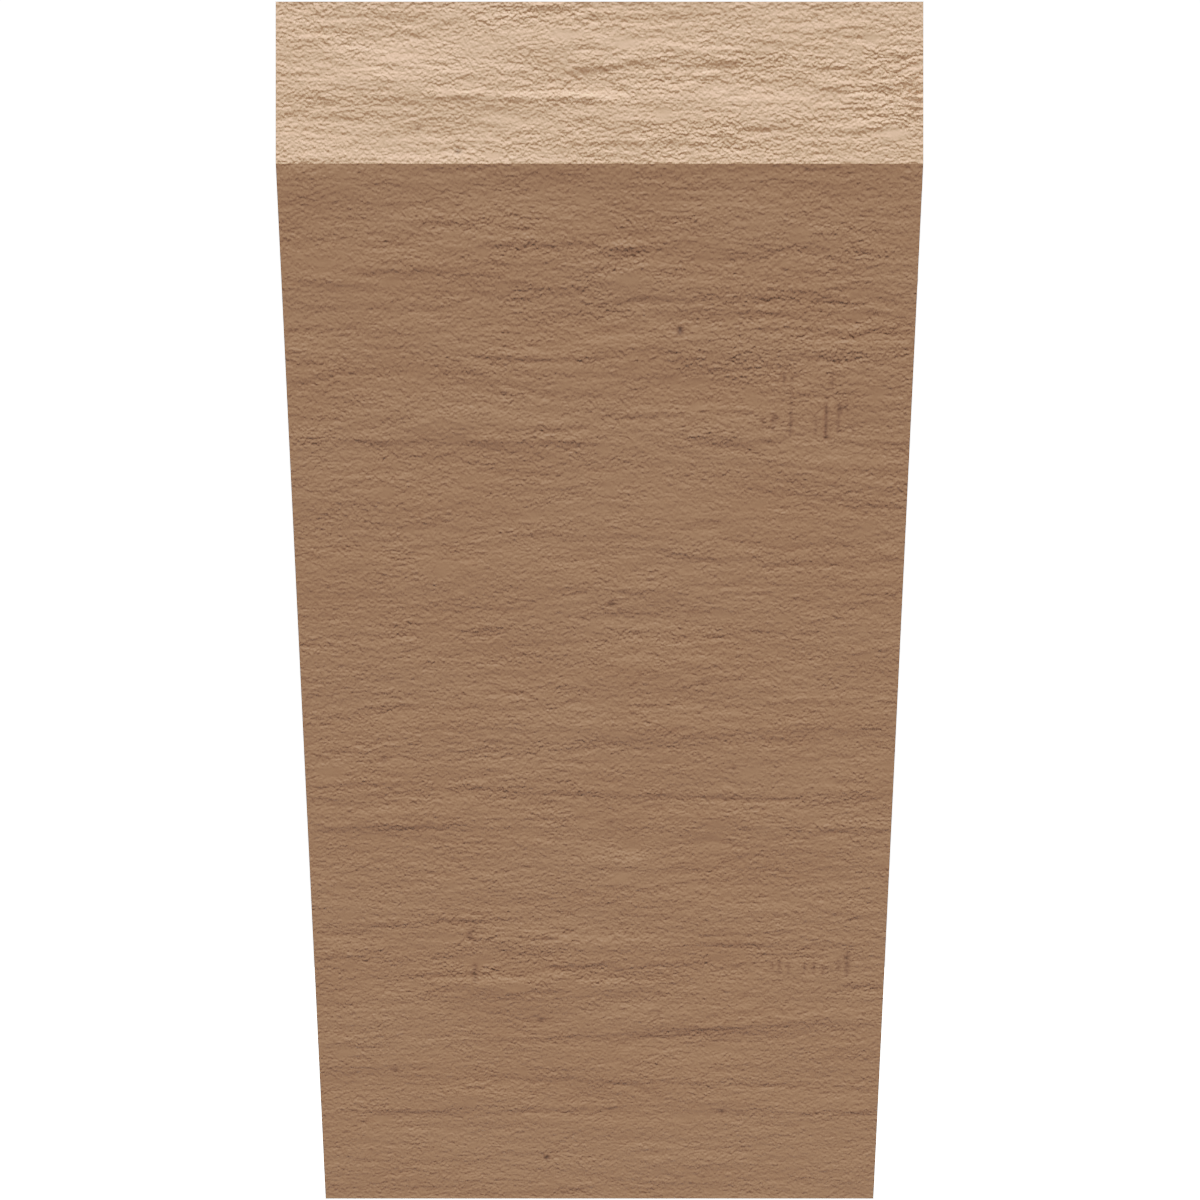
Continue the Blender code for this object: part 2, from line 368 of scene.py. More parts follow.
# Knots, where the relief runs in rings. Each row: x, z, reach sideways, reach up and down, spacing, height
KNOTS = (
    (76, 132, 9, 7, 2.2, 0.150),
    (4, 105, 9, 5, 2.4, 0.030),
    (0, 90, 6, 4.5, 2.2, 0.030),
    (8, -65, 6, 5, 2.2, 0.025),
    (27, -51, 7, 4, 2.4, 0.025),
    (-16, -5, 6, 4, 2.2, 0.020),
    (16, -96, 5, 4, 2.0, 0.025),
    (68, 77, 5, 4, 2.0, 0.030),
)

# Spots that the primer has filled smooth. Each row: x, z, half width, half height, lean of the spot,
# which is positive where it faces up and so is lighter
SMOOTH_SPOTS = (
    (-8, 144.5, 3.4, 1.8, 0.03), (7, 142.6, 3.0, 1.8, 0.02), (38.5, 141, 2.4, 1.8, 0.10),
    (15, 126, 2.8, 1.9, 0.0), (69, 121.4, 3.0, 2.0, 0.10), (-36, 131, 2.0, 1.6, 0.03),
    (-25, 116, 2.4, 1.6, 0.05), (64, 144, 2.0, 1.6, 0.03), (-3, 107, 2.0, 2.6, 0.02),
    (33, 109.5, 2.2, 1.2, 0.03), (47.5, 99.5, 3.0, 1.2, 0.09), (47.5, 97.8, 2.4, 1.2, -0.06),
    (-67, 92.6, 4.0, 1.4, 0.09), (-67, 90.6, 2.6, 1.2, -0.05), (-29, 94.5, 2.4, 1.8, 0.04),
    (-50, 88, 2.4, 2.0, -0.02), (-22, 87, 1.6, 1.6, 0.0), (62.5, 85, 2.0, 1.8, -0.06),
    (25, 93.2, 2.8, 1.6, -0.04), (7.5, 88.6, 3.4, 2.2, 0.06), (-8.5, 64.5, 1.8, 1.8, 0.03),
    (18, 65, 2.4, 2.0, 0.0), (24, 64.4, 2.0, 1.8, 0.0), (38, 62, 2.0, 2.4, 0.04),
    (68, 62.5, 2.2, 2.2, 0.0), (-52, 70, 1.8, 1.8, -0.04), (62, 80, 3.0, 1.4, 0.07),
    (23, 59, 2.2, 1.8, -0.03), (1, 49, 1.8, 2.0, -0.02), (-35, 51.4, 2.2, 1.8, 0.02),
    (2.5, 39.6, 2.6, 2.2, -0.03), (-53, 38.6, 2.6, 2.0, 0.0), (-47, 38.6, 1.6, 1.4, 0.0),
    (-17, 33, 1.6, 2.0, 0.0), (40, 35.4, 1.8, 1.4, 0.03), (66.5, 30.5, 2.2, 2.4, -0.02),
    (-46, 29.6, 2.4, 1.4, 0.05), (-39, 20, 2.4, 2.6, 0.0), (22, 21, 2.0, 1.8, -0.03),
    (30, 9, 2.0, 1.4, 0.03), (47, 8, 2.6, 1.4, -0.03), (-2.5, 5, 1.6, 2.4, 0.03),
    (45, -1.2, 0.9, 0.8, 0.12), (68, -1.6, 3.0, 1.6, 0.02), (-42, -33.8, 2.0, 2.4, -0.02),
    (-69, -31.6, 3.0, 1.8, 0.0), (39, -31.4, 4.0, 1.6, 0.03), (60, -34, 2.4, 1.6, 0.03),
    (74, -30, 1.8, 3.0, -0.05), (6, -21.6, 1.4, 1.8, 0.10), (28.5, -37.4, 1.3, 1.8, 0.03),
    (8.5, -36.6, 1.8, 1.2, 0.03), (-4.6, -45, 1.2, 1.9, 0.08), (-33, -46.6, 2.2, 1.6, 0.0),
    (-59, -48.6, 2.4, 1.0, 0.05), (-50, -49, 1.6, 1.0, 0.05), (8, -51.6, 2.8, 2.4, -0.15),
    (54, -44, 1.6, 0.9, 0.10), (54, -45.8, 1.8, 1.0, -0.10), (30, -46, 2.4, 2.0, -0.02),
    (29, -49.6, 4.2, 2.4, -0.12), (4.8, -59.4, 2.8, 2.4, 0.13), (-39, -61.8, 2.4, 1.4, 0.05),
    (-48, -61, 1.6, 1.4, 0.03), (-69, -62.6, 1.8, 1.8, 0.03), (-67, -71, 2.4, 2.4, 0.0),
    (-12, -71, 1.4, 1.2, 0.03), (-40, -76.6, 3.4, 1.4, -0.05), (-31, -83.4, 1.8, 2.2, -0.04),
    (-21, -90, 4.0, 1.6, 0.07), (-49, -89.6, 3.0, 1.4, 0.05), (11.5, -80.6, 1.6, 1.2, 0.05),
    (31, -82.4, 1.8, 2.0, 0.04), (38, -81.4, 1.6, 1.2, 0.0), (41, -87.6, 1.6, 1.4, 0.05),
    (63, -81.6, 1.8, 1.4, 0.07), (-66, -84.6, 2.4, 1.6, 0.0), (-69, -108.8, 2.4, 1.6, 0.04),
    (68, -98, 2.0, 1.4, 0.0), (32, -107.6, 3.4, 1.8, 0.0), (-45, -114, 2.4, 1.4, 0.0),
    (-22, -114.6, 2.2, 1.6, 0.02), (-36, -123.8, 2.4, 1.6, 0.06), (-60, -128.6, 2.4, 1.4, 0.03),
    (-2.4, -125, 1.3, 1.4, 0.04), (23, -128.2, 3.4, 1.6, 0.03), (28, -125.2, 2.2, 1.2, 0.0),
    (56, -129.6, 2.6, 1.2, 0.04), (60, -123.4, 1.6, 1.2, 0.05), (15, -144.6, 1.6, 1.6, 0.06),
    (0, -149.4, 1.8, 1.6, 0.0), (-19, -149.6, 1.4, 1.4, -0.04), (-35, -136.6, 2.2, 1.6, 0.0),
    (24, -144, 2.4, 2.0, 0.0), (44, -136.4, 2.6, 1.6, 0.0), (-66, -118, 2.0, 1.4, 0.0),
)

# Where the cast is rougher than elsewhere or, with a negative share, finer.
# Each row: x, z, half width, half height, share
ROUGH_PATCHES = (
    (50, 74, 28, 12, 0.45), (-23, 95, 16, 12, 0.20), (0, -0.6, 70, 5, 0.12), (-35, -34, 30, 12, 0.20),
    (-20, -77, 20, 6, 0.40), (50, -77, 22, 6, 0.20), (-40, -86, 30, 6, 0.20), (20, 122, 16, 6, 0.30),
    (72, 131, 12, 8, 0.75), (-12, 150, 14, 3, 0.40), (22, 137, 16, 4, 0.20), (26, 120, 18, 3, 0.15),
    (-26, 141, 22, 6, -0.15), (-12, 126, 30, 3, -0.30), (6, 96, 8, 8, 0.30), (58, 96, 10, 6, 0.25),
    (-52, 121, 24, 6, -0.30), (54, 149, 20, 4, -0.20), (30, 32, 45, 12, -0.15), (-62, 92, 12, 14, -0.20),
    (0, -133, 80, 6, -0.12),
)

# Pits. Each row: x, z, depth
PITS = (
    (-33, 117, 0.40), (-42.5, 122.5, 0.28), (31.5, 128, 0.25), (51, 148.5, 0.20), (20, 76.5, 0.50),
    (3.5, 11.5, 0.34), (-55.5, -28.5, 0.32), (34.2, -30.5, 0.26), (27, -8.6, 0.26), (3.6, -45.6, 0.28),
    (-14, -77, 0.24), (-15.4, -99.6, 0.36), (16.5, -98, 0.26), (16.2, -93, 0.24), (-56, -114.2, 0.32),
    (33, -126.5, 0.34), (3, -125.6, 0.26), (-14, -140.5, 0.42), (-9, -116.8, 0.22),
)

# Broad hollows and swellings. Each row: x, z, half width, half height, height
SWELLINGS = (
    (-10, 141, 14, 4, 0.10), (40, 133, 18, 4, -0.10), (-50, 134, 16, 5, 0.08), (30, 124, 18, 3, 0.08),
    (-20, 108, 22, 4, -0.10), (40, 99, 18, 4, 0.10), (-40, 92, 16, 4, 0.10), (6, 89, 8, 4, 0.10),
    (60, 82, 12, 5, -0.08), (-10, 76, 20, 5, -0.06), (20, 63, 9, 5, -0.10), (-30, 56, 18, 4, 0.12),
    (55, 46, 14, 4, 0.10), (-20, 44, 24, 4, -0.08), (45, 30, 14, 4, 0.10), (-45, 20, 22, 6, 0.08),
    (10, 14, 14, 5, 0.10), (-20, 0, 24, 4, -0.08), (40, -12, 20, 5, 0.08), (20, -19, 34, 3, 0.10),
    (-30, -32, 20, 4, 0.08), (50, -34, 18, 4, 0.08), (-50, -43, 18, 3, 0.12), (6, -51, 7, 4, -0.16),
    (30, -50, 8, 4, -0.16), (-25, -64, 24, 5, 0.08), (40, -64, 22, 5, -0.08), (0, -79, 26, 4, 0.10),
    (-25, -88, 20, 3, 0.14), (10, -93, 14, 4, -0.10), (20, -100, 34, 3, 0.10), (-40, -112, 20, 4, 0.08),
    (-40, -123, 22, 3, 0.12), (40, -123, 22, 3, 0.10), (20, -131, 26, 4, 0.08), (-30, -144, 26, 4, -0.06),
)

# Upright marks. Each row: x, from z, to z, depth
UPRIGHTS = (
    (55.3, 51.3, 59.6, 0.55), (56.3, 52.2, 59.6, -0.50), (56.6, 62.7, 67.4, 0.30), (55.3, 60.4, 61.6, 0.30),
    (46.5, 51.7, 66.4, 0.24), (46.5, 52.5, 57.4, 0.20), (45.1, 63.5, 66.9, 0.40), (42.3, 53.2, 56.9, 0.36),
    (43.3, 55.4, 57.4, 0.34), (40.0, 53.7, 56.6, 0.32), (58.3, 52.7, 60.0, 0.38), (59.4, 57.3, 59.2, 0.36),
    (60.6, 58.4, 60.4, 0.32), (52.7, 52.2, 56.1, 0.28), (61.9, 52.6, 55.0, 0.25),
    (48.2, -87.0, -83.2, 0.40), (54.6, -86.6, -83.6, 0.40), (57.2, -86.8, -83.4, 0.40),
    (46.4, -86.2, -83.4, 0.30), (50.6, -87.0, -83.6, 0.35), (63.4, -86.4, -82.6, 0.32),
    (60.0, -87.4, -84.6, 0.30), (66.6, -87.4, -80.4, 0.45), (-33.0, -89.0, -84.0, 0.45),
    (-34.3, -76.8, -74.4, 0.45), (-33.1, -78.0, -76.8, 0.40), (-33.1, -74.6, -73.4, 0.35),
)

# How strongly the tables above are cast, and how wide a line's steep side is. The broad relief fades
# out within BROAD_RIM of the top and bottom edges.
NOSE_LINE_SCALE = 1.1
SLOPE_LINE_SCALE = 1.35
LINE_WIDTH_SCALE = 1.3
SWELLING_SCALE = 3.0
BROAD_HEIGHT = 0.12
BROAD_RIM = 8.0
PIT_REACH = 0.70
PIT_SCALE = 1.5
# PIT_SHADE is how much painted shade a pit puts into the colour
PIT_SHADE = 5.5
UPRIGHT_REACH = 0.42

# How far from a line the coat is roughened, and how much
WRINKLE_REACH = 1.6
WRINKLE_GAIN = 1.2
WRINKLE_MOST = 0.25

# How much painted shade darkens the colour at a line's foot, and how near to it
LINE_SHADE = 0.26
LINE_SHADE_REACH = 0.40
LINE_SHADE_DROP = 0.2

NOSE_FOOT = (HIGH[2] - NOSE_HEIGHT) / MM


def line_run(x, z, points):
    """How strong a line is at each place along it, and how far each place lies above it."""
    points = np.array(points, float)
    first, last = points[0, 0], points[-1, 0]
    fade = min(6.0, (last - first) / 2.5)
    strength = smooth((x - first) / fade + 0.35) * smooth((last - x) / fade + 0.35)
    return strength, z - np.interp(x, points[:, 0], points[:, 1])


def line_relief(above, width, reach, share_above):
    """The step of a line, as a share of its height."""
    side = np.where(above > 0, share_above, 1.0 - share_above)
    return side * 2.0 * np.tanh(above / width) * np.exp(-np.abs(above) / reach)


def upright_share(x, z, first, last, middle):
    """How much of an upright mark each place has. The mark is centred on the nearest column."""
    nearest = x[0, np.abs(x[0] - middle).argmin()]
    ends = rise_between(z, first - 0.5, first + 0.5) * rise_between(-z, -last - 0.5, 0.5 - last)
    return hump(x - nearest, UPRIGHT_REACH) * ends


def knot_relief(x, z, knot):
    """The rings of a knot, which die away from its middle."""
    middle, level, sideways, reach, spacing, height = knot
    across = (x - middle) / sideways
    up = (z - level) / reach
    distance = np.hypot(across, up)
    rings = np.cos(2.0 * math.pi * distance * reach / spacing)
    return 1.8 * height * rings * np.exp(-distance ** 2)


# How far a smooth spot is dished, in millimetres
SPOT_DEPTH = 0.09


def spot_share(x, z, spot):
    """How much of a smooth spot each place has."""
    middle, level, half_width, half_height, _ = spot
    distance = np.hypot((x - middle) / half_width, (z - level) / half_height)
    return 0.85 * (1.0 - rise_between(distance, 0.25, 1.2))


class Relief:
    """The relief of the faces, all from the same sheets of noise."""

    def __init__(self):
        self.long_streaks = noise_sheet(11, 46.0, 5.4)
        self.streaks = noise_sheet(12, 14.0, 4.2)
        self.wrinkles = noise_sheet(13, 3.6, 2.4)
        self.broad = noise_sheet(14, 60.0, 24.0)
        self.patches = noise_sheet(15, 22.0, 9.0)
        self.wander = noise_sheet(16, 14.0, 7.0)
        self.ticks = noise_sheet(17, 5.0, 3.0)
        self.fine_streaks = noise_sheet(18, 28.0, 2.6)

    def grain(self, x, z, level, shift):
        """Streaks and wrinkles that follow the grain, each sheet by its rms height. shift picks another
        part of the sheets."""
        wander = 0.18 * sample(self.wander, x + shift, z)
        strength = np.exp(0.35 * sample(self.patches, x + shift, z + 31.0))
        long_streaks = 0.035 * sample(self.long_streaks, x + shift, level + wander)
        streaks = 0.032 * sample(self.streaks, x + shift, level + wander)
        fine_streaks = 0.027 * sample(self.fine_streaks, x + shift, level + wander)
        wrinkles = 0.022 * sample(self.wrinkles, x + shift, level + 2.0 * wander)
        return strength * (streaks + wrinkles) + long_streaks + fine_streaks

    def front(self, x, z):
        """Height, roughness and painted shade of the nose and the slope. Roughness is near 0 in the smooth
        spots, and the painted shade, which darkens the colour, reaches 1 deep in a line, an upright mark or a
        pit."""
        bent_x = x + 0.8 * sample(self.wander, x, z + 60.0)
        bent_z = z + 0.12 * sample(self.wander, x + 90.0, z) + 0.05 * sample(self.ticks, x, z)
        level = grain_level(x, z)
        height = self.grain(x, z, level, 0.0)
        rough = np.ones_like(x)
        for middle, at, half_width, half_height, share in ROUGH_PATCHES:
            rough += share * hump(bent_x - middle, half_width) * hump(z - at, half_height)
        for spot in SMOOTH_SPOTS:
            rough *= 1.0 - spot_share(bent_x, bent_z, spot)
        for knot in KNOTS:
            height += knot_relief(bent_x, bent_z, knot)
        height *= rough
        inside = rise_between(HIGH[2] / MM - np.abs(z), 0.0, BROAD_RIM)
        height += BROAD_HEIGHT * inside * sample(self.broad, x, z)
        for middle, at, half_width, half_height, amount in SWELLINGS:
            swell = SWELLING_SCALE * amount * hump(bent_x - middle, half_width)
            height += swell * hump(z - at, half_height)
        # Painted shade, which darkens the colour where lines, upright marks and pits would lie in shade
        painted_shade = np.zeros_like(x)
        uneven = 1.0 + 0.20 * sample(self.patches, x + 40.0, z) + 0.15 * sample(self.ticks, x + 20.0, z)
        uneven = np.clip(uneven, 0.15, 1.8)
        wrinkled = np.zeros_like(x)
        for points, amount, width, reach, share_above in LINES:
            scale = NOSE_LINE_SCALE if points[0][1] > NOSE_FOOT else SLOPE_LINE_SCALE
            strength, above = line_run(bent_x, bent_z, points)
            strength = strength * uneven
            step = line_relief(above, LINE_WIDTH_SCALE * width, reach, share_above)
            height += scale * amount * strength * step
            # Painted shade at the foot of the line
            shade = hump(above + LINE_SHADE_DROP, LINE_SHADE_REACH)
            painted_shade += LINE_SHADE * max(amount, 0.0) * strength * shade
            wrinkled += abs(amount) * strength * hump(above, WRINKLE_REACH)
        rough *= 1.0 + WRINKLE_GAIN * np.minimum(wrinkled, WRINKLE_MOST)
        for spot in SMOOTH_SPOTS:
            _, at, _, _, lean = spot
            share = spot_share(bent_x, bent_z, spot)
            height -= (lean * (bent_z - at) + SPOT_DEPTH) * share
        for middle, first, last, depth in UPRIGHTS:
            share = upright_share(x, z, first, last, middle)
            height -= depth * share
            # Painted shade in the upright mark
            painted_shade += max(depth, 0.0) * share
        for middle, at, depth in PITS:
            nearest_x = x[0, np.abs(x[0] - middle).argmin()]
            nearest_z = z[np.abs(z[:, 0] - at).argmin(), 0]
            share = hump(x - nearest_x, PIT_REACH) * hump(z - nearest_z, PIT_REACH)
            height -= PIT_SCALE * depth * share
            # Painted shade in the pit
            painted_shade += PIT_SHADE * depth ** 2 * share
        return height, rough, np.clip(painted_shade, 0.0, 1.0)

    def plain(self, along, level, shift, strength):
        """Height and roughness of a face that isn't on show."""
        broad = 0.08 * sample(self.broad, along + shift, level)
        height = strength * (self.grain(along, level, level, shift) + broad)
        rough = 1.0 - 0.9 * rise_between(sample(self.patches, along + shift, level + 77.0), 1.6, 2.2)
        return height * (0.25 + 0.75 * rough), rough


# The grid of the surface

def spaced(first, last, count):
    """count + 1 places from first to last, evenly spaced but for a narrow margin at each end."""
    step = math.copysign(MARGIN, last - first)
    inner = np.linspace(first + step, last - step, count - 1)
    return np.concatenate([[first], inner, [last]])


def column_places():
    """The columns across the width, closer together where the upright marks are."""
    even = spaced(LOW[0], HIGH[0], COLUMNS)
    finer = np.linspace(even[1], even[-2], 2001)
    is_fine = np.abs(finer / MM - np.mean(FINE_COLUMNS)) < np.ptp(FINE_COLUMNS) / 2.0
    density = np.where(is_fine, FINE_DENSITY, 1.0)
    passed = np.concatenate([[0.0], np.cumsum(density[:-1])])
    even[1:-1] = np.interp(np.linspace(0.0, passed[-1], COLUMNS - 1), passed, finer)
    return even


def face_front(z):
    """How far the front face stands out from the back at each level."""
    below_nose = np.clip((HIGH[2] - NOSE_HEIGHT - z) / SLOPE_HEIGHT, 0.0, 1.0)
    return PROJECTION - SLOPE_RUN * below_nose


def edge_fade(places, first, last):
    """0 at both ends and 1 from a margin inside them."""
    return rise_between(np.minimum(np.abs(places - first), np.abs(last - places)), 0.0, EDGE_FADE)


class Surface:
    """Collects the vertices and faces of one closed mesh."""

    def __init__(self):
        self.places = []
        self.rough = []
        # The painted shade of each vertex, which darkens its colour
        self.painted_shade = []
        self.faces = []
        self.arrises = []

    def add(self, places, rough, painted_shade=0.0):
        """Adds an array of places, and returns their numbers in an array of the same shape."""
        shape = places.shape[:-1]
        first = sum(len(p) for p in self.places)
        self.places.append(places.reshape(-1, 3))
        self.rough.append(np.broadcast_to(rough, shape).ravel())
        self.painted_shade.append(np.broadcast_to(painted_shade, shape).ravel())
        return np.arange(first, first + math.prod(shape)).reshape(shape)

    def grid(self, numbers, flipped):
        """Quads over a grid of vertex numbers."""
        corners = [numbers[:-1, :-1], numbers[:-1, 1:], numbers[1:, 1:], numbers[1:, :-1]]
        if flipped:
            corners.reverse()
        quads = np.stack(corners, -1)
        # Each quad starts at another corner than its neighbours, so that their diagonals alternate
        odd = np.indices(quads.shape[:2]).sum(0) % 2 == 1
        quads[odd] = np.roll(quads[odd], 1, axis=-1)
        self.faces.extend(quads.reshape(-1, 4).tolist())

    def seam(self, fine, coarse, flipped):
        """Triangles between a column of vertices and one with a vertex for every SIDE_ROW_STEP of them."""
        for row, (low, high) in enumerate(zip(coarse[:-1], coarse[1:])):
            start = row * SIDE_ROW_STEP
            middle = start + SIDE_ROW_STEP // 2
            corners = [(fine[start + k], fine[start + k + 1], low if start + k < middle else high)
                       for k in range(SIDE_ROW_STEP)]
            corners.append((low, fine[middle], high))
            for corner in corners:
                self.faces.append([int(v) for v in (reversed(corner) if flipped else corner)])

    def mesh(self, name):
        mesh = bpy.data.meshes.new(name)
        mesh.from_pydata(np.concatenate(self.places).tolist(), [], self.faces)
        mesh.polygons.foreach_set("use_smooth", [True] * len(mesh.polygons))
        ends = np.empty(2 * len(mesh.edges), np.int32)
        mesh.edges.foreach_get("vertices", ends)
        sharp = np.concatenate([np.stack([arris[:-1], arris[1:]], -1) for arris in self.arrises])
        keys = [np.sort(pairs, axis=1) @ (len(mesh.vertices), 1) for pairs in (ends.reshape(-1, 2), sharp)]
        mesh.edges.foreach_set("use_edge_sharp", np.isin(*keys))
        # roughcast sets the bump's strength; the second attribute is painted shade for the colour
        for attribute, values in (("roughcast", self.rough), ("painted_shade", self.painted_shade)):
            layer = mesh.attributes.new(attribute, "FLOAT", "POINT")
            layer.data.foreach_set("value", np.concatenate(values).astype(np.float32))
        mesh.update()
        return mesh


# How far the relief's mean level lies inside the CAD surface
SKIN_DEPTH = 0.04 * MM
# The relief's limits, in millimetres
DEEPEST = 1.6
PROUDEST = 0.95

# Which part of the noise each plain face takes, in millimetres, and how strong its relief is
SIDE_SHIFTS = {-1: 15.0, 1: 125.0}
END_SHIFTS = {-1: -60.0, 1: 120.0}
SIDE_STRENGTH = 1.0
END_STRENGTH = 0.7


def depth_below(height, fade):
    """How far inside the solid's face places of these heights lie, in metres. Where fade is 0, they lie
    on the arris."""
    sunk = SKIN_DEPTH - MM * np.clip(height, -DEEPEST, PROUDEST)
    return fade * sunk + (1.0 - fade) * ARRIS_INSET


def move_ends_to_arris(places):
    """Moves the bottom and top rows out to the arrises."""
    places[0, :, 2] += ARRIS_INSET
    places[-1, :, 2] -= ARRIS_INSET


def front_normals(levels):
    """The way out of the face at each level, and half way between the nose's and the slope's on their
    arris."""
    slope_length = math.hypot(SLOPE_RUN, SLOPE_HEIGHT)
    nose_normal = np.array((0.0, -1.0, 0.0))
    slope_normal = np.array((0.0, -SLOPE_HEIGHT, -SLOPE_RUN)) / slope_length
    normals = np.where((levels >= levels[ARRIS_ROW])[:, None], nose_normal, slope_normal)
    normals[ARRIS_ROW] = (nose_normal + slope_normal) / np.linalg.norm(nose_normal + slope_normal)
    return normals


def add_front(surface, relief, across, levels):
    """The nose and the slope. Returns the numbers of their vertices."""
    grid_x, grid_z = np.meshgrid(across / MM, levels / MM)
    # The third value is painted shade, which darkens the colour in lines, upright marks and pits
    height, rough, painted_shade = relief.front(grid_x, grid_z)
    fade = edge_fade(across, LOW[0], HIGH[0])[None, :] * edge_fade(levels, LOW[2], HIGH[2])[:, None]
    from_arris = np.abs(levels - levels[ARRIS_ROW])
    fade = fade * rise_between(from_arris, -0.2 * MARGIN, 3.5 * MARGIN)[:, None]
    depth = depth_below(height, fade)
    outline = np.stack([np.zeros_like(levels), -face_front(levels), levels], -1)
    places = outline[:, None, :] - depth[..., None] * front_normals(levels)[:, None, :]
    places[..., 0] = across[None, :]
    places[:, 0, 0] += ARRIS_INSET
    places[:, -1, 0] -= ARRIS_INSET
    move_ends_to_arris(places)
    front = surface.add(places, rough, painted_shade)
    surface.grid(front, False)
    surface.arrises += [front[0], front[ARRIS_ROW], front[-1], front[:, 0], front[:, -1]]
    return front


def add_side(surface, relief, front, levels, side):
    """One side, -1 for the left and 1 for the right, seamed to the front. Returns the numbers of its
    vertices, with those that it shares with the front."""
    column, wall = (0, LOW[0]) if side < 0 else (-1, HIGH[0])
    side_levels = levels[::SIDE_ROW_STEP]
    ranks = np.stack([-spaced(out, 0.0, RANKS) for out in face_front(side_levels)])
    level_grid = np.broadcast_to(side_levels[:, None], ranks.shape)
    height, rough = relief.plain(ranks / MM, level_grid / MM, SIDE_SHIFTS[side], SIDE_STRENGTH)
    fade = edge_fade(side_levels, LOW[2], HIGH[2])[:, None] * np.stack(
        [edge_fade(row, row[0], row[-1]) for row in ranks])
    places = np.stack([wall - side * depth_below(height, fade), ranks, level_grid], -1)
    move_ends_to_arris(places)
    numbers = surface.add(places[:, 1:], rough[:, 1:])
    surface.grid(numbers, side < 0)
    surface.seam(front[:, column], numbers[:, 0], side > 0)
    return np.concatenate([front[::SIDE_ROW_STEP, column][:, None], numbers], 1)


def add_end(surface, relief, front, sides, across, end):
    """The top, for 1, or the foot's underside, for -1. Returns the numbers along its back edge."""
    row, level = (-1, HIGH[2]) if end > 0 else (0, LOW[2])
    ranks = -spaced(face_front(level), 0.0, RANKS)
    grid_y, grid_x = np.meshgrid(ranks, across, indexing="ij")
    height, rough = relief.plain(grid_x / MM, grid_y / MM, END_SHIFTS[end], END_STRENGTH)
    fade = edge_fade(across, LOW[0], HIGH[0])[None, :] * edge_fade(ranks, ranks[0], ranks[-1])[:, None]
    places = np.stack([grid_x, grid_y, level - end * depth_below(height, fade)], -1)
    numbers = np.empty((RANKS + 1, COLUMNS + 1), int)
    numbers[0] = front[row]
    numbers[:, 0] = sides[-1][row]
    numbers[:, -1] = sides[1][row]
    numbers[1:, 1:-1] = surface.add(places[1:, 1:-1], rough[1:, 1:-1])
    surface.grid(numbers, end < 0)
    surface.arrises += [numbers[:, 0], numbers[:, -1]]
    return numbers[-1]


def add_back(surface, ring):
    """A narrow ring of quads round one flat face. The ring's corners share a vertex with their
    neighbours, so equal places are merged."""
    placed = np.concatenate(surface.places)[ring]
    inner_places = np.stack([
        np.clip(placed[:, 0], LOW[0] + MARGIN, HIGH[0] - MARGIN),
        np.full(len(ring), HIGH[1]),
        np.clip(placed[:, 2], LOW[2] + MARGIN, HIGH[2] - MARGIN),
    ], -1)
    _, first, place = np.unique(
        np.round(inner_places / MM, 4), axis=0, return_index=True, return_inverse=True)
    numbers = surface.add(inner_places[first], 1.0)[place.reshape(-1)]
    for k in range(len(ring)):
        after = (k + 1) % len(ring)
        corners = [int(ring[k]), int(ring[after]), int(numbers[after]), int(numbers[k])]
        surface.faces.append(list(dict.fromkeys(corners)))
    surface.faces.append([int(v) for v in dict.fromkeys(numbers.tolist())])


def build_surface(relief):
    surface = Surface()
    levels = np.linspace(LOW[2], HIGH[2], ROWS + 1)
    across = column_places()
    front = add_front(surface, relief, across, levels)
    sides = {side: add_side(surface, relief, front, levels, side) for side in (-1, 1)}
    back_edges = {end: add_end(surface, relief, front, sides, across, end) for end in (1, -1)}
    add_back(surface, np.concatenate([
        back_edges[1][:-1],
        sides[1][:0:-1, -1],
        back_edges[-1][:0:-1],
        sides[-1][:-1, -1],
    ]))
    return surface


# Materials

def new_material(name):
    material = bpy.data.materials.new(name)
    material.use_nodes = True
    return material, material.node_tree, material.node_tree.nodes["Principled BSDF"]


def add_node(tree, kind, settings=None, inputs=None):
    node = tree.nodes.new(kind)
    for name, value in (settings or {}).items():
        setattr(node, name, value)
    for name, value in (inputs or {}).items():
        node.inputs[name].default_value = value
    return node


def stretched_noise(tree, place, lengths_mm, detail, roughness):
    """Noise with waves of about these lengths along x, y and z."""
    mapping = add_node(tree, "ShaderNodeMapping")
    mapping.inputs["Scale"].default_value = [1.0 / (length * MM) for length in lengths_mm]
    tree.links.new(place, mapping.inputs["Vector"])
    noise = add_node(tree, "ShaderNodeTexNoise", None, {
        "Scale": 1.0, "Detail": detail, "Roughness": roughness})
    tree.links.new(mapping.outputs["Vector"], noise.inputs["Vector"])
    return noise.outputs["Fac"]


def math_node(tree, operation, first, second):
    node = add_node(tree, "ShaderNodeMath", {"operation": operation})
    for socket, value in zip(node.inputs, (first, second)):
        if isinstance(value, bpy.types.NodeSocket):
            tree.links.new(value, socket)
        else:
            socket.default_value = value
    return node.outputs["Value"]


def map_range(tree, value, low, high, to_low, to_high):
    node = add_node(tree, "ShaderNodeMapRange", None, {
        "From Min": low, "From Max": high, "To Min": to_low, "To Max": to_high})
    tree.links.new(value, node.inputs["Value"])
    return node.outputs["Result"]


def colour_mix(tree, factor, first, second):
    node = add_node(tree, "ShaderNodeMix", {"data_type": "RGBA"})
    tree.links.new(factor, node.inputs["Factor"])
    for name, value in (("A", first), ("B", second)):
        socket = [s for s in node.inputs if s.name == name and s.type == "RGBA"][0]
        if isinstance(value, bpy.types.NodeSocket):
            tree.links.new(value, socket)
        else:
            socket.default_value = (*value, 1.0)
    return [s for s in node.outputs if s.type == "RGBA"][0]


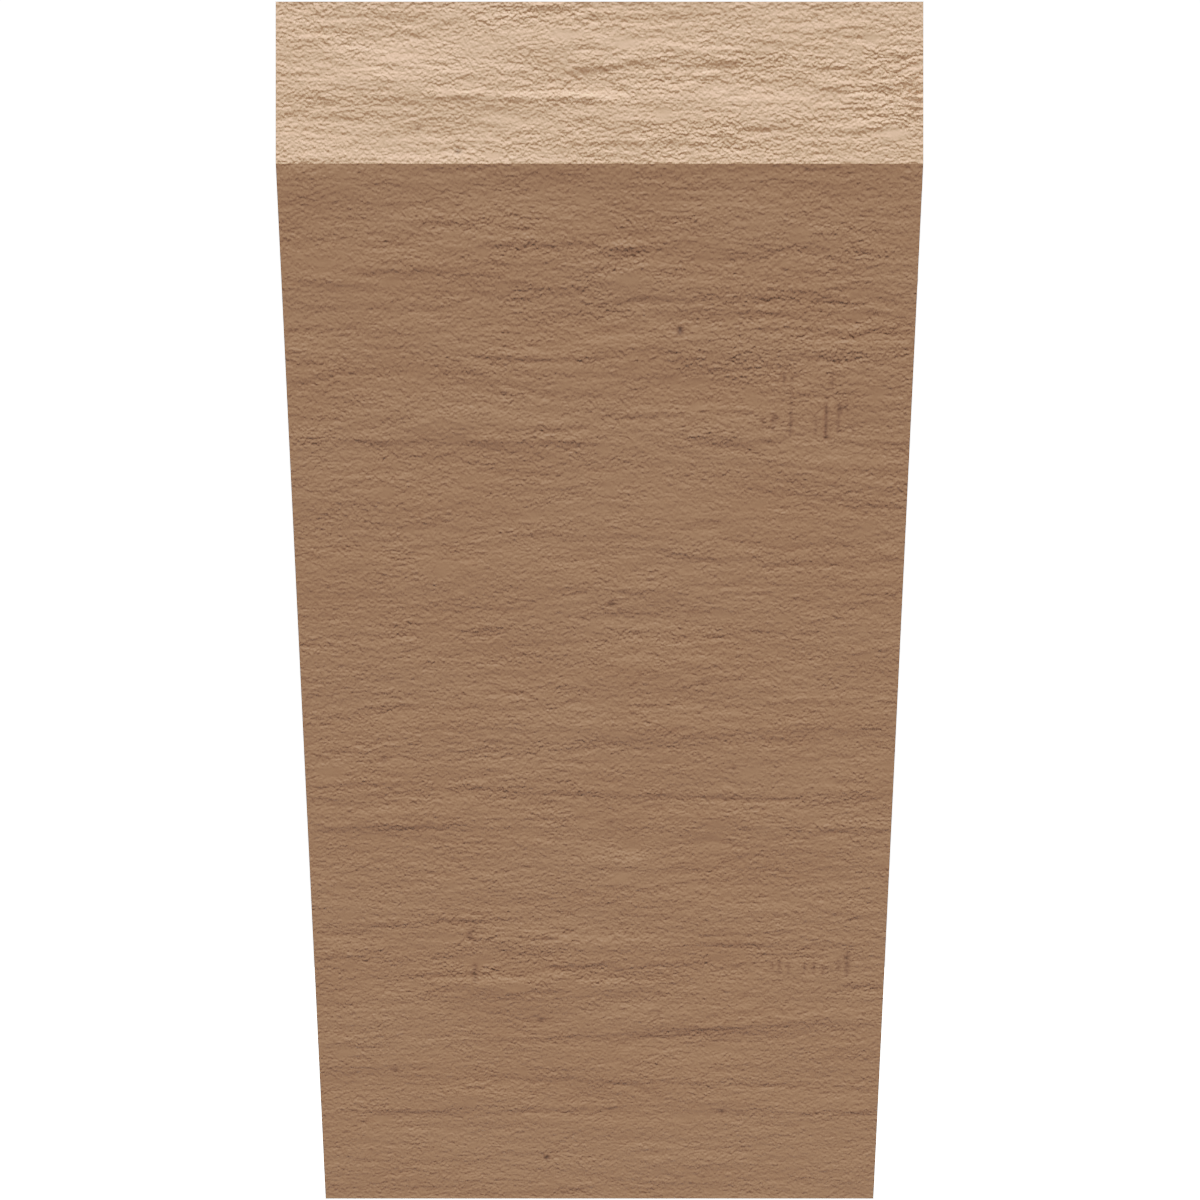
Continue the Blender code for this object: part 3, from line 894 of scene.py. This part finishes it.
PRIMER_LIGHT = (0.625, 0.340, 0.196)
PRIMER_MIDDLE = (0.600, 0.322, 0.183)
PRIMER_THIN = (0.55, 0.275, 0.150)
# Painted shade: a dark brown put into the colour deep in lines, upright marks and pits, where shade falls
PAINTED_SHADE_BROWN = (0.13, 0.080, 0.055)

# The bump's full height, and its finer and longer noise as shares of the pebbles
BUMP_HEIGHT = 0.285 * MM
GRIT_SHARE = 0.58
WRINKLE_SHARE = 0.8
NOISE_MIDDLE = 0.5


def primer_material():
    """A flat tan primer over a cast grain: fine wrinkles in the bump, faint drifts of tone, a browner
    coat where it is thin, and painted shade, a dark brown put into the colour deep in lines, upright marks
    and pits."""
    material, tree, shader = new_material("tan_primer_coat")
    place = add_node(tree, "ShaderNodeTexCoord").outputs["Object"]
    rough = add_node(tree, "ShaderNodeAttribute", {"attribute_name": "roughcast"}).outputs["Fac"]
    # Painted shade: the share of dark brown that stands for the shade deep in lines, upright marks and pits
    painted_shade = add_node(tree, "ShaderNodeAttribute", {"attribute_name": "painted_shade"}).outputs["Fac"]

    pebbles = stretched_noise(tree, place, (0.88, 4.0, 0.80), 0.0, 0.5)
    grit = stretched_noise(tree, place, (0.50, 3.0, 0.56), 0.0, 0.5)
    wrinkles = stretched_noise(tree, place, (2.50, 6.0, 1.20), 0.0, 0.5)
    patches = stretched_noise(tree, place, (9.0, 9.0, 4.0), 1.0, 0.5)
    drift = stretched_noise(tree, place, (45.0, 45.0, 16.0), 2.0, 0.5)
    fleck = stretched_noise(tree, place, (5.0, 5.0, 2.0), 2.0, 0.6)

    relief = math_node(tree, "ADD", pebbles, math_node(tree, "MULTIPLY", grit, GRIT_SHARE))
    relief = math_node(tree, "ADD", relief, math_node(tree, "MULTIPLY", wrinkles, WRINKLE_SHARE))
    relief = math_node(tree, "SUBTRACT", relief, NOISE_MIDDLE * (1.0 + GRIT_SHARE + WRINKLE_SHARE))
    relief = math_node(tree, "MULTIPLY", relief, map_range(tree, patches, 0.35, 0.65, 0.75, 1.25))
    relief = math_node(tree, "MULTIPLY", relief, rough)
    bump = add_node(tree, "ShaderNodeBump", None, {"Strength": 1.0, "Distance": BUMP_HEIGHT})
    tree.links.new(relief, bump.inputs["Height"])
    tree.links.new(bump.outputs["Normal"], shader.inputs["Normal"])

    tone = colour_mix(tree, map_range(tree, drift, 0.35, 0.65, 0.0, 1.0), PRIMER_MIDDLE, PRIMER_LIGHT)
    thin = map_range(tree, fleck, 0.62, 0.80, 0.0, 0.35)
    coat = colour_mix(tree, thin, tone, PRIMER_THIN)
    # Painted shade: the coat darkens towards a dark brown in lines, upright marks and pits
    tree.links.new(colour_mix(tree, painted_shade, coat, PAINTED_SHADE_BROWN), shader.inputs["Base Color"])
    tree.links.new(map_range(tree, fleck, 0.3, 0.7, 0.62, 0.74), shader.inputs["Roughness"])
    return material


def floor_material():
    material, tree, shader = new_material("pale_floor")
    shader.inputs["Base Color"].default_value = (0.88, 0.88, 0.88, 1.0)
    shader.inputs["Roughness"].default_value = 0.9
    shader.inputs["Emission Color"].default_value = (1.0, 1.0, 1.0, 1.0)
    shader.inputs["Emission Strength"].default_value = WHITE
    return material


# Camera

def add_camera():
    """Level, square to the nose, and a little below the middle. The shift brings in the frame as the
    photograph has it."""
    focal_pixels = NOSE_PIXELS * CAMERA_DISTANCE / WIDTH
    data = bpy.data.cameras.new("camera")
    data.sensor_width = SENSOR_WIDTH
    data.lens = SENSOR_WIDTH * focal_pixels / FRAME_PIXELS
    middle = FRAME_PIXELS / 2.0
    eye_pixel = NOSE_TOP_PIXEL + focal_pixels * (HIGH[2] + CAMERA_DROP) / CAMERA_DISTANCE
    data.shift_x = (middle - NOSE_CENTRE_PIXEL) / FRAME_PIXELS
    data.shift_y = (eye_pixel - middle) / FRAME_PIXELS
    data.clip_start = 0.05
    data.clip_end = 60.0
    camera = bpy.data.objects.new("camera", data)
    camera.location = (0.0, LOW[1] - CAMERA_DISTANCE, -CAMERA_DROP)
    camera.rotation_euler = (math.pi / 2.0, 0.0, 0.0)
    bpy.context.scene.collection.objects.link(camera)
    bpy.context.scene.camera = camera


# Light

def soft_sun(name, azimuth, elevation, brightness, colour, spread):
    """Soft light from a direction, in degrees: azimuth 0 is from the front, 90 from the right. A white
    surface square to it has this brightness."""
    data = bpy.data.lights.new(name, "SUN")
    data.energy = brightness * math.pi
    data.color = colour
    data.angle = math.radians(spread)
    light = bpy.data.objects.new(name, data)
    turn, lift = math.radians(azimuth), math.radians(elevation)
    towards = Vector((math.sin(turn) * math.cos(lift), -math.cos(turn) * math.cos(lift), math.sin(lift)))
    light.rotation_euler = towards.to_track_quat("Z", "Y").to_euler()
    bpy.context.scene.collection.objects.link(light)


def add_lights():
    soft_sun("key", 0.0, 75.0, 2.33, (0.995, 1.040, 0.955), 12.0)
    soft_sun("front_fill", 0.0, 26.0, 0.72, (0.99, 0.965, 0.97), 22.0)
    soft_sun("left_fill", -115.0, 10.0, 0.70, (1.0, 1.0, 1.0), 50.0)
    soft_sun("right_fill", 115.0, 10.0, 0.70, (1.0, 1.0, 1.0), 50.0)
    soft_sun("under_fill", 180.0, -50.0, 0.45, (1.0, 1.0, 1.0), 50.0)


# The brightness that the view shows as white, and the dim light that comes from all round
WHITE = 2.7
AMBIENT = 0.08

# How bright the view shows each brightness of the scene, both as shares: it holds the tan of the
# shaded slope deep, and lets the bright nose pale as it nears white
VIEW_WHITE = 2.6
VIEW_CURVE = ((0.10, 0.115), (0.20, 0.232), (0.30, 0.325), (0.45, 0.432), (0.80, 0.600), (1.30, 0.790),
              (1.65, 0.862), (2.05, 0.905))


def set_world():
    """White to the camera, and dim as a light, so that the soft lights model the relief."""
    world = bpy.data.worlds.new("studio")
    world.use_nodes = True
    tree = world.node_tree
    background = tree.nodes["Background"]
    background.inputs["Color"].default_value = (1.0, 1.0, 1.0, 1.0)
    seen = add_node(tree, "ShaderNodeLightPath").outputs["Is Camera Ray"]
    tree.links.new(map_range(tree, seen, 0.0, 1.0, AMBIENT, WHITE), background.inputs["Strength"])
    bpy.context.scene.world = world


def set_view():
    settings = bpy.context.scene.view_settings
    settings.view_transform = "Standard"
    settings.use_curve_mapping = True
    mapping = settings.curve_mapping
    mapping.white_level = (VIEW_WHITE, VIEW_WHITE, VIEW_WHITE)
    for brightness, shown in VIEW_CURVE:
        mapping.curves[3].points.new(brightness / VIEW_WHITE, shown)
    mapping.update()


FLOOR_LEVEL = -1.3
FLOOR_RADIUS = 14.0


def add_floor():
    mesh = bpy.data.meshes.new("floor")
    corners = [(FLOOR_RADIUS * math.cos(turn), FLOOR_RADIUS * math.sin(turn), FLOOR_LEVEL)
               for turn in np.linspace(0.0, 2.0 * math.pi, 97)[:-1]]
    mesh.from_pydata(corners, [], [list(range(len(corners)))])
    floor = bpy.data.objects.new("floor", mesh)
    mesh.materials.append(floor_material())
    floor.visible_diffuse = False
    floor.visible_glossy = False
    floor.visible_shadow = False
    bpy.context.scene.collection.objects.link(floor)


def add_corbel():
    corbel = bpy.data.objects.new("corbel_relief", build_surface(Relief()).mesh("corbel_relief"))
    corbel.data.materials.append(primer_material())
    bpy.context.scene.collection.objects.link(corbel)
    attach(corbel, "root")
    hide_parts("corbel")


add_camera()
add_corbel()
add_lights()
set_world()
add_floor()
set_view()
